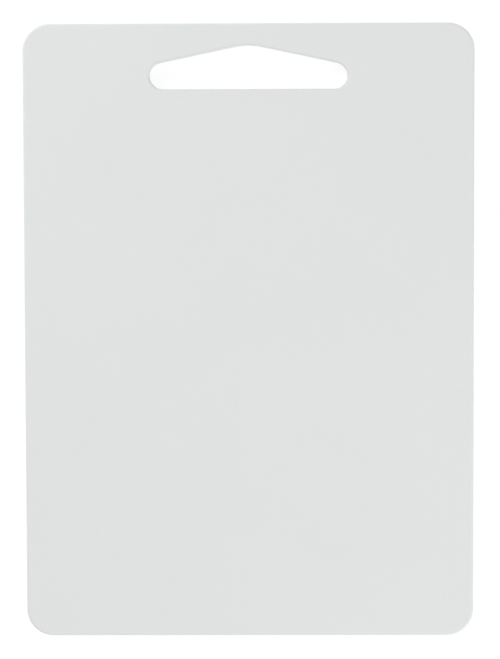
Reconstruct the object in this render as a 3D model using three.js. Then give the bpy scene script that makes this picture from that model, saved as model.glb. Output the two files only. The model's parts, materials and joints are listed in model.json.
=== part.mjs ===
// Plastic cutting board: one moulded plate, alike on both faces, with a hand slot under its top edge.
// Millimetres, +Z up. The board lies flat with the middle of its lower face at the origin:
// +X runs across its width and +Y along its length, towards the hand slot.
import * as THREE from "three";

// The plate
const BOARD_LENGTH = 340;
const BOARD_WIDTH = 249;
const BOARD_THICKNESS = 8;
const CORNER_RADIUS = 15;
const EDGE_RADIUS = 1.5; // round-over along the outer edge and along the slot, on both faces

// The hand slot: two round ends, a straight lower side, and an upper side that rises to a blunt peak
const SLOT_LENGTH = 109;
const SLOT_END_RADIUS = 7.2;
const SLOT_RISE = 9.4; // how far the peak stands above the tops of the round ends
const SLOT_PEAK_RADIUS = 35;
const GRIP_BAR_WIDTH = 12.2; // plastic left between the slot's peak and the board's top edge

// Fineness of the round forms: an outline's arc is drawn in twice ARC_SEGMENTS straight steps
const ARC_SEGMENTS = 8;
const ROUND_OVER_SEGMENTS = 5;

// A round peg for an outline to bend around.
function peg(x, y, radius) {
  return { x, y, radius };
}

// The angle at which the straight run from one peg to the next faces outward, going counter-clockwise.
function runFacing(from, to) {
  const heading = Math.atan2(to.y - from.y, to.x - from.x);
  const distance = Math.hypot(to.x - from.x, to.y - from.y);
  const lean = Math.asin((from.radius - to.radius) / distance);
  return heading - Math.PI / 2 + lean;
}

// Draws a closed outline like a belt pulled round the pegs, which come in counter-clockwise order:
// an arc on each peg, and straight runs that leave and meet the arcs at a tangent.
function drawBelt(path, pegs) {
  pegs.forEach((current, index) => {
    const before = pegs.at(index - 1);
    const after = pegs[(index + 1) % pegs.length];
    const start = runFacing(before, current);
    const end = runFacing(current, after);
    path.absarc(current.x, current.y, current.radius, start, end, false);
  });
  return path.closePath();
}

// The board's outline: a rectangle with four equal round corners, centred on the origin.
function boardOutline() {
  const x = BOARD_WIDTH / 2 - CORNER_RADIUS;
  const y = BOARD_LENGTH / 2 - CORNER_RADIUS;
  const pegs = [
    peg(-x, -y, CORNER_RADIUS),
    peg(x, -y, CORNER_RADIUS),
    peg(x, y, CORNER_RADIUS),
    peg(-x, y, CORNER_RADIUS),
  ];
  return drawBelt(new THREE.Shape(), pegs);
}

// The slot's outline: a belt round the two end pegs and the large peg that blunts the peak.
function slotOutline() {
  const peakTop = BOARD_LENGTH / 2 - GRIP_BAR_WIDTH;
  const endY = peakTop - SLOT_RISE - SLOT_END_RADIUS;
  const endX = SLOT_LENGTH / 2 - SLOT_END_RADIUS;
  const pegs = [
    peg(-endX, endY, SLOT_END_RADIUS),
    peg(endX, endY, SLOT_END_RADIUS),
    peg(0, peakTop - SLOT_PEAK_RADIUS, SLOT_PEAK_RADIUS),
  ];
  return drawBelt(new THREE.Path(), pegs);
}

// Solid polyethylene, off-white and matte.
function offWhitePlastic() {
  return new THREE.MeshStandardMaterial({ color: "#e1e3e2", roughness: 0.55, metalness: 0 });
}

// The plate, with its edge and the slot's rims rounded on both faces. A round-over takes a third of the
// thickness at most, so that a flat land always runs along the middle of the edge.
function makeBoard() {
  const roundOver = Math.min(EDGE_RADIUS, BOARD_THICKNESS / 3);
  const outline = boardOutline();
  outline.holes.push(slotOutline());
  const geometry = new THREE.ExtrudeGeometry(outline, {
    depth: BOARD_THICKNESS - 2 * roundOver,
    curveSegments: ARC_SEGMENTS,
    bevelThickness: roundOver,
    bevelSize: roundOver,
    bevelOffset: -roundOver,
    bevelSegments: ROUND_OVER_SEGMENTS,
  });
  const board = new THREE.Mesh(geometry, offWhitePlastic());
  board.name = "board";
  board.position.z = roundOver;
  return board;
}

const cuttingBoard = new THREE.Group();
cuttingBoard.name = "cutting_board";
cuttingBoard.add(makeBoard());

export default cuttingBoard;
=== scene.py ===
# Plastic cutting board: the moulded board with its fine edges and plastic, a white stage, light and camera.
# Metres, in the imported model's frame: the board lies flat, +Y runs towards its hand slot and +Z points up.
import json
import math
from collections import namedtuple

import bmesh
import bpy
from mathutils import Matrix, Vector
from mathutils.geometry import delaunay_2d_cdt


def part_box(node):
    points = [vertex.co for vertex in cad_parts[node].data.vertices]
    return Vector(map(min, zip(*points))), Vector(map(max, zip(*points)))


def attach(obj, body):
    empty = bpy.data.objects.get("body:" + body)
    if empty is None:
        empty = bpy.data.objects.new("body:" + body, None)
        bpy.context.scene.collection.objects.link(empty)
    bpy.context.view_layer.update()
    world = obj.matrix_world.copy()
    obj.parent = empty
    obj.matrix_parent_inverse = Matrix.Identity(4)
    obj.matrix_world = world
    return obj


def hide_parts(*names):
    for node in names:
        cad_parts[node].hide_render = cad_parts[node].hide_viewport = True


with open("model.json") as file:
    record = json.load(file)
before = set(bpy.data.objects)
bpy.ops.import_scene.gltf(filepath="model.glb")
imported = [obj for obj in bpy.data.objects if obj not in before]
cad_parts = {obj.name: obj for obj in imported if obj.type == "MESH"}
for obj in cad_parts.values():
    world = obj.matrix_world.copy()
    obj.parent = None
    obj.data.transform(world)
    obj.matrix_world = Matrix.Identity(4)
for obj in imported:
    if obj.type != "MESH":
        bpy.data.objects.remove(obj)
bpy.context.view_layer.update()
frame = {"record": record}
MM = 0.001

# The board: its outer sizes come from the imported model
LOW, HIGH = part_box("board")
WIDTH, LENGTH, THICKNESS = HIGH - LOW
CORNER_RADIUS = 15 * MM
EDGE_RADIUS = 1.5 * MM  # round-over along the outer edge and along the slot, on both faces

# The hand slot: two round ends, a straight lower side, and an upper side that rises to a blunt peak
SLOT_LENGTH = 109 * MM
SLOT_END_RADIUS = 7.2 * MM
SLOT_RISE = 9.4 * MM  # how far the peak stands above the tops of the round ends
SLOT_PEAK_RADIUS = 35 * MM
GRIP_BAR_WIDTH = 12.2 * MM  # plastic left between the slot's peak and the board's top edge

# The parting line, where the halves of the mould met: a fine ridge round the middle of the edge
RIDGE_HEIGHT = 0.04 * MM
RIDGE_WIDTH = 0.3 * MM
DRAFT = 0.05 * MM  # how far the edge leans in between the ridge and a round-over

# Fineness of the mesh
ARC_STEP = math.radians(4)
RUN_STEP = 6 * MM
ROUND_OVER_STEPS = 10
RIM_STRIP = 0.4 * MM  # flat strip inside each round-over, which keeps the shading of the face flat
GRID_STEP = 6 * MM
GRID_MARGIN = 0.6 * GRID_STEP  # room between the grid and a rim
MERGE_DISTANCE = 0.001 * MM
INSIDE_ONLY = 1  # asks the triangulation for the triangles inside the rims
JOIN_BEND = math.radians(1)  # most bend between two triangles that join to a square
JOIN_SKEW = math.radians(20)  # most skew of such a square

# The plastic: a faintly uneven colour, a fine moulded grain, and light that seeps a little way in
PLASTIC_COLOR = frame["record"]["materials"][0]["base_color"]
PLASTIC_IOR = 1.5
TONE_PATCH = 70 * MM
TONE_DETAIL = 6
TONE_SPREAD = 0.015
SHEEN_PATCH = 5 * MM
SHEEN_DETAIL = 4
ROUGHNESS = (0.55, 0.63)
GRAIN_SIZE = 0.9 * MM
GRAIN_DETAIL = 2
GRAIN_HEIGHT = 0.035 * MM
EDGE_GRAIN = 0.4  # how much of the grain is left on the edges
SEEP_SHARE = 0.2
SEEP_DEPTH = 1.0 * MM
SEEP_COLOR = (1.1, 1.0, 0.9)  # shares of that depth for red, green and blue
NOISE_LOW = 0.3  # most of a noise texture lies between these two values
NOISE_HIGH = 0.7

# Sockets of a mix node for colours, which share their names with those for numbers
MIX_COLOR_A = 6
MIX_COLOR_B = 7
MIX_COLOR_RESULT = 2

# The light, as shares of the level at which a white face turned up renders white
ZENITH_LIGHT = 0.635
HORIZON_LIGHT = 0.45
UPPER_LEFT_LIGHT = 0.229
LOWER_RIGHT_LIGHT = 0.221

# Where the two lamps stand
UPPER_LEFT = math.radians(135)
LOWER_RIGHT = math.radians(-45)
SIDE_LIGHT_RISE = math.radians(27)
SIDE_LIGHT_DISTANCE = 2.0
SIDE_LIGHT_SIZE = 0.9

# The stage
FLOOR_SIZE = 3.0
FLOOR_GAP = 0.02 * MM  # keeps the floor clear of the board's lower face
FLOOR_COLOR = (0.92, 0.92, 0.92, 1)
WHITE = (1, 1, 1, 1)
FLOOR_GLOW = 0.9  # brightness that the floor shows in the darkest shadow
FLOOR_SHADOW = 0.13  # brightness that a shadow can take away

# The camera, which stands above the board and looks down at it
IMAGE_HEIGHT = 659
FOCAL_LENGTH_PX = 2448
SENSOR_SIZE = 36.0
CAMERA_PLACE = Vector((0.0199, 0.0869, 1.3604))
CAMERA_TURN = [math.radians(angle) for angle in (-3.626, 0.81, -0.182)]

Peg = namedtuple("Peg", "x y radius")


def run_facing(start, end):
    """The angle at which the straight run from one peg to the next faces outward."""
    heading = math.atan2(end.y - start.y, end.x - start.x)
    distance = math.hypot(end.x - start.x, end.y - start.y)
    lean = math.asin((start.radius - end.radius) / distance)
    return heading - math.pi / 2 + lean


def on_peg(peg, growth, angle):
    """The point at an angle on a peg whose radius is enlarged by growth."""
    radius = peg.radius + growth
    return Vector((peg.x + radius * math.cos(angle), peg.y + radius * math.sin(angle)))


def belt(pegs, growth):
    """Points of a belt pulled counter-clockwise round pegs that are enlarged by growth."""
    points = []
    for index, peg in enumerate(pegs):
        before = pegs[index - 1]
        after = pegs[(index + 1) % len(pegs)]
        start = run_facing(before, peg)
        end = start + (run_facing(peg, after) - start) % math.tau
        arc_steps = math.ceil((end - start) / ARC_STEP)
        for step in range(arc_steps):
            points.append(on_peg(peg, growth, start + (end - start) * step / arc_steps))
        run_start = on_peg(peg, growth, end)
        run_end = on_peg(after, growth, end)
        run_steps = math.ceil((run_end - run_start).length / RUN_STEP)
        for step in range(run_steps):
            points.append(run_start.lerp(run_end, step / run_steps))
    return points


def board_pegs():
    """The four round corners of the board."""
    x = WIDTH / 2 - CORNER_RADIUS
    y = LENGTH / 2 - CORNER_RADIUS
    corners = ((-x, -y), (x, -y), (x, y), (-x, y))
    return [Peg(*corner, CORNER_RADIUS) for corner in corners]


def slot_pegs():
    """The two round ends of the slot and the large peg that blunts its peak."""
    peak_top = LENGTH / 2 - GRIP_BAR_WIDTH
    end_x = SLOT_LENGTH / 2 - SLOT_END_RADIUS
    end_y = peak_top - SLOT_RISE - SLOT_END_RADIUS
    return [
        Peg(-end_x, end_y, SLOT_END_RADIUS),
        Peg(end_x, end_y, SLOT_END_RADIUS),
        Peg(0, peak_top - SLOT_PEAK_RADIUS, SLOT_PEAK_RADIUS),
    ]


def edge_section():
    """The edge's section from the lower face's rim to the upper face's: inset, height over the middle,
    and share, which is 0 where the surface belongs to a face and 1 where it belongs to the edge."""
    land = THICKNESS / 2 - EDGE_RADIUS
    land_inset = RIDGE_HEIGHT + DRAFT
    upper = [(RIDGE_HEIGHT, RIDGE_WIDTH / 2, 1.0)]
    for step in range(ROUND_OVER_STEPS + 1):
        angle = math.pi / 2 * step / ROUND_OVER_STEPS
        inset = land_inset + EDGE_RADIUS * (1 - math.cos(angle))
        upper.append((inset, land + EDGE_RADIUS * math.sin(angle), math.cos(angle)))
    upper.append((land_inset + EDGE_RADIUS + RIM_STRIP, THICKNESS / 2, 0.0))
    lower = [(inset, -height, share) for inset, height, share in reversed(upper)]
    ridge = (0.0, 0.0, 1.0)
    return lower + [ridge] + upper


def skin_edge(mesh, pegs, side):
    """Skins the edge round the pegs, with side 1 for the outer edge and -1 for the slot's.
    Returns the rings of vertices at the lower and upper face."""
    edge_share = mesh.verts.layers.float["edge_share"]
    rings = []
    for inset, height, share in edge_section():
        ring = []
        for x, y in belt(pegs, -side * inset):
            vert = mesh.verts.new((x, y, THICKNESS / 2 + height))
            vert[edge_share] = share
            ring.append(vert)
        rings.append(ring)
    for lower, upper in zip(rings, rings[1:]):
        for index in range(len(lower)):
            mesh.faces.new((lower[index - 1], lower[index], upper[index], upper[index - 1]))
    return rings[0], rings[-1]


def depth_inside(point, outline):
    """How deep a point lies inside a counter-clockwise convex outline, below 0 where it lies outside."""
    depths = []
    for index, corner in enumerate(outline):
        along = (corner - outline[index - 1]).normalized()
        depths.append(along.cross(point - corner))
    return min(depths)


def grid_points(board_rim, slot_rim):
    """The points of a square grid that lie well inside the board's rim and well outside the slot's."""
    columns = int(WIDTH / 2 / GRID_STEP)
    rows = int(LENGTH / 2 / GRID_STEP)
    points = []
    for column in range(-columns, columns + 1):
        for row in range(-rows, rows + 1):
            point = Vector((column * GRID_STEP, row * GRID_STEP))
            if depth_inside(point, board_rim) > GRID_MARGIN and depth_inside(point, slot_rim) < -GRID_MARGIN:
                points.append(point)
    return points


def ring_edges(first, count):
    """Pairs of neighbours round a closed ring of numbered points."""
    return [(first + index, first + (index + 1) % count) for index in range(count)]


def cover_face(mesh, board_ring, slot_ring, grid):
    """Covers one face between the board's rim and the slot's with a grid of squares."""
    height = board_ring[0].co.z
    inner = [mesh.verts.new((*point, height)) for point in grid]
    verts = board_ring + slot_ring + inner
    edges = ring_edges(0, len(board_ring)) + ring_edges(len(board_ring), len(slot_ring))
    flat = [vert.co.xy for vert in verts]
    _, _, triangles, *_ = delaunay_2d_cdt(flat, edges, [], INSIDE_ONLY, MERGE_DISTANCE)
    in_slot = set(slot_ring)
    faces = []
    for triangle in triangles:
        corners = [verts[index] for index in triangle]
        if not in_slot.issuperset(corners):
            faces.append(mesh.faces.new(corners))
    bmesh.ops.join_triangles(
        mesh, faces=faces, angle_face_threshold=JOIN_BEND, angle_shape_threshold=JOIN_SKEW
    )


def make_board():
    """The board as one closed mesh."""
    mesh = bmesh.new()
    mesh.verts.layers.float.new("edge_share")
    board_lower, board_upper = skin_edge(mesh, board_pegs(), 1)
    slot_lower, slot_upper = skin_edge(mesh, slot_pegs(), -1)
    grid = grid_points([vert.co.xy for vert in board_upper], [vert.co.xy for vert in slot_upper])
    cover_face(mesh, board_lower, slot_lower, grid)
    cover_face(mesh, board_upper, slot_upper, grid)
    bmesh.ops.recalc_face_normals(mesh, faces=mesh.faces)
    for face in mesh.faces:
        face.smooth = True
    data = bpy.data.meshes.new("moulded_board")
    mesh.to_mesh(data)
    mesh.free()
    board = bpy.data.objects.new("moulded_board", data)
    board.data.materials.append(polyethylene())
    bpy.context.scene.collection.objects.link(board)
    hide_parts("board")
    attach(board, "root")


def add_node(tree, kind, inputs, **settings):
    """Adds a node, with its settings, and sets each named input or links it to another node's output."""
    node = tree.nodes.new(kind)
    for name, value in settings.items():
        setattr(node, name, value)
    for name, value in inputs.items():
        if isinstance(value, bpy.types.NodeSocket):
            tree.links.new(value, node.inputs[name])
        else:
            node.inputs[name].default_value = value
    return node


def new_material(name):
    """An empty node material and its tree."""
    material = bpy.data.materials.new(name)
    material.use_nodes = True
    material.node_tree.nodes.clear()
    return material, material.node_tree


def noise(tree, place, size, detail):
    """Soft noise with spots of about the given size, and finer ones for each step of detail."""
    return add_node(
        tree, "ShaderNodeTexNoise", {"Vector": place, "Scale": 1 / size, "Detail": detail}
    ).outputs["Fac"]


def spread(tree, value, limits):
    """Noise spread between two limits."""
    return add_node(tree, "ShaderNodeMapRange", {
        "Value": value,
        "From Min": NOISE_LOW,
        "From Max": NOISE_HIGH,
        "To Min": limits[0],
        "To Max": limits[1],
    }).outputs["Result"]


def plastic_shade(share):
    """The plastic's colour at a share of its brightness."""
    return [channel * share for channel in PLASTIC_COLOR] + [1]


def uneven_color(tree, place):
    """The plastic's colour, a little lighter and darker from patch to patch."""
    inputs = {
        "Factor": noise(tree, place, TONE_PATCH, TONE_DETAIL),
        MIX_COLOR_A: plastic_shade(1 - TONE_SPREAD),
        MIX_COLOR_B: plastic_shade(1 + TONE_SPREAD),
    }
    mix = add_node(tree, "ShaderNodeMix", inputs, data_type="RGBA")
    return mix.outputs[MIX_COLOR_RESULT]


def uneven_roughness(tree, place):
    """A matte surface, a little duller and shinier from spot to spot."""
    return spread(tree, noise(tree, place, SHEEN_PATCH, SHEEN_DETAIL), ROUGHNESS)


def moulded_grain(tree, place, edge):
    """The fine grain that the mould left, fainter on the edges."""
    strength = add_node(tree, "ShaderNodeMapRange", {"Value": edge, "To Min": 1.0, "To Max": EDGE_GRAIN})
    bump = add_node(tree, "ShaderNodeBump", {
        "Strength": strength.outputs["Result"],
        "Distance": GRAIN_HEIGHT,
        "Height": noise(tree, place, GRAIN_SIZE, GRAIN_DETAIL),
    })
    return bump.outputs["Normal"]


def polyethylene():
    """Off-white solid plastic, matte, with a fine moulded grain that is fainter on the edges."""
    material, tree = new_material("off_white_polyethylene")
    place = add_node(tree, "ShaderNodeTexCoord", {}).outputs["Object"]
    edge = add_node(tree, "ShaderNodeAttribute", {}, attribute_name="edge_share").outputs["Fac"]
    shader = add_node(tree, "ShaderNodeBsdfPrincipled", {
        "Base Color": uneven_color(tree, place),
        "Roughness": uneven_roughness(tree, place),
        "IOR": PLASTIC_IOR,
        "Normal": moulded_grain(tree, place, edge),
        "Subsurface Weight": SEEP_SHARE,
        "Subsurface Radius": SEEP_COLOR,
        "Subsurface Scale": SEEP_DEPTH,
    })
    add_node(tree, "ShaderNodeOutputMaterial", {"Surface": shader.outputs["BSDF"]})
    return material


def shows_background(tree):
    """1 for a ray that shows the background: from the camera, off gloss or through glass."""
    path = add_node(tree, "ShaderNodeLightPath", {}).outputs
    shows = path["Is Camera Ray"]
    for kind in ("Is Glossy Ray", "Is Transmission Ray"):
        either = add_node(tree, "ShaderNodeMath", {0: shows, 1: path[kind]}, operation="MAXIMUM")
        shows = either.outputs["Value"]
    return shows


def floor_white():
    """A pale floor that lights the board as any floor does and shows white, but for a soft shadow."""
    material, tree = new_material("floor_white")
    plain = add_node(tree, "ShaderNodeBsdfDiffuse", {"Color": FLOOR_COLOR})
    shaded = add_node(tree, "ShaderNodeBsdfDiffuse", {"Color": (FLOOR_SHADOW,) * 3 + (1,)})
    glow = add_node(tree, "ShaderNodeEmission", {"Color": WHITE, "Strength": FLOOR_GLOW})
    white = add_node(tree, "ShaderNodeAddShader", {
        0: shaded.outputs["BSDF"],
        1: glow.outputs["Emission"],
    })
    surface = add_node(tree, "ShaderNodeMixShader", {
        "Fac": shows_background(tree),
        1: plain.outputs["BSDF"],
        2: white.outputs["Shader"],
    })
    add_node(tree, "ShaderNodeOutputMaterial", {"Surface": surface.outputs["Shader"]})
    material.cycles.emission_sampling = "NONE"
    return material


def make_floor():
    """A large level floor just under the board."""
    bpy.ops.mesh.primitive_plane_add(size=FLOOR_SIZE, location=(0, 0, LOW.z - FLOOR_GAP))
    floor = bpy.context.object
    floor.name = "floor"
    floor.data.materials.append(floor_white())


def light_world():
    """Soft light from all round, a little stronger from above, and a background that shows white."""
    world = bpy.data.worlds.new("studio")
    bpy.context.scene.world = world
    world.use_nodes = True
    tree = world.node_tree
    tree.nodes.clear()
    direction = add_node(tree, "ShaderNodeTexCoord", {}).outputs["Generated"]
    rise = add_node(tree, "ShaderNodeSeparateXYZ", {"Vector": direction}).outputs["Z"]
    light = add_node(
        tree, "ShaderNodeMapRange", {"Value": rise, "To Min": HORIZON_LIGHT, "To Max": ZENITH_LIGHT}
    )
    strength = add_node(
        tree, "ShaderNodeMix", {"Factor": shows_background(tree), "A": light.outputs["Result"], "B": 1.0}
    )
    background = add_node(
        tree, "ShaderNodeBackground", {"Color": WHITE, "Strength": strength.outputs["Result"]}
    )
    add_node(tree, "ShaderNodeOutputWorld", {"Surface": background.outputs["Background"]})


def add_side_light(name, share, heading):
    """A wide soft lamp off one corner of the board, low enough to model the edges.
    It leaves no glare on the face, and the camera doesn't see it."""
    lamp = bpy.data.lights.new(name, "AREA")
    lamp.shape = "DISK"
    lamp.size = SIDE_LIGHT_SIZE
    lamp.energy = share / math.sin(SIDE_LIGHT_RISE) * (math.pi * SIDE_LIGHT_DISTANCE) ** 2
    across = math.cos(SIDE_LIGHT_RISE)
    toward = Vector((across * math.cos(heading), across * math.sin(heading), math.sin(SIDE_LIGHT_RISE)))
    light = bpy.data.objects.new(name, lamp)
    light.location = toward * SIDE_LIGHT_DISTANCE
    light.rotation_euler = toward.to_track_quat("Z", "Y").to_euler()
    light.visible_camera = False
    light.visible_glossy = False
    bpy.context.scene.collection.objects.link(light)


def make_camera():
    """The camera at the photograph's viewing angle."""
    data = bpy.data.cameras.new("camera")
    data.sensor_width = SENSOR_SIZE
    data.lens = FOCAL_LENGTH_PX * SENSOR_SIZE / IMAGE_HEIGHT
    camera = bpy.data.objects.new("camera", data)
    camera.location = CAMERA_PLACE
    camera.rotation_euler = CAMERA_TURN
    bpy.context.scene.collection.objects.link(camera)
    bpy.context.scene.camera = camera


make_camera()
make_board()
make_floor()
light_world()
add_side_light("upper_left_light", UPPER_LEFT_LIGHT, UPPER_LEFT)
add_side_light("lower_right_light", LOWER_RIGHT_LIGHT, LOWER_RIGHT)
bpy.context.scene.view_settings.view_transform = "Standard"
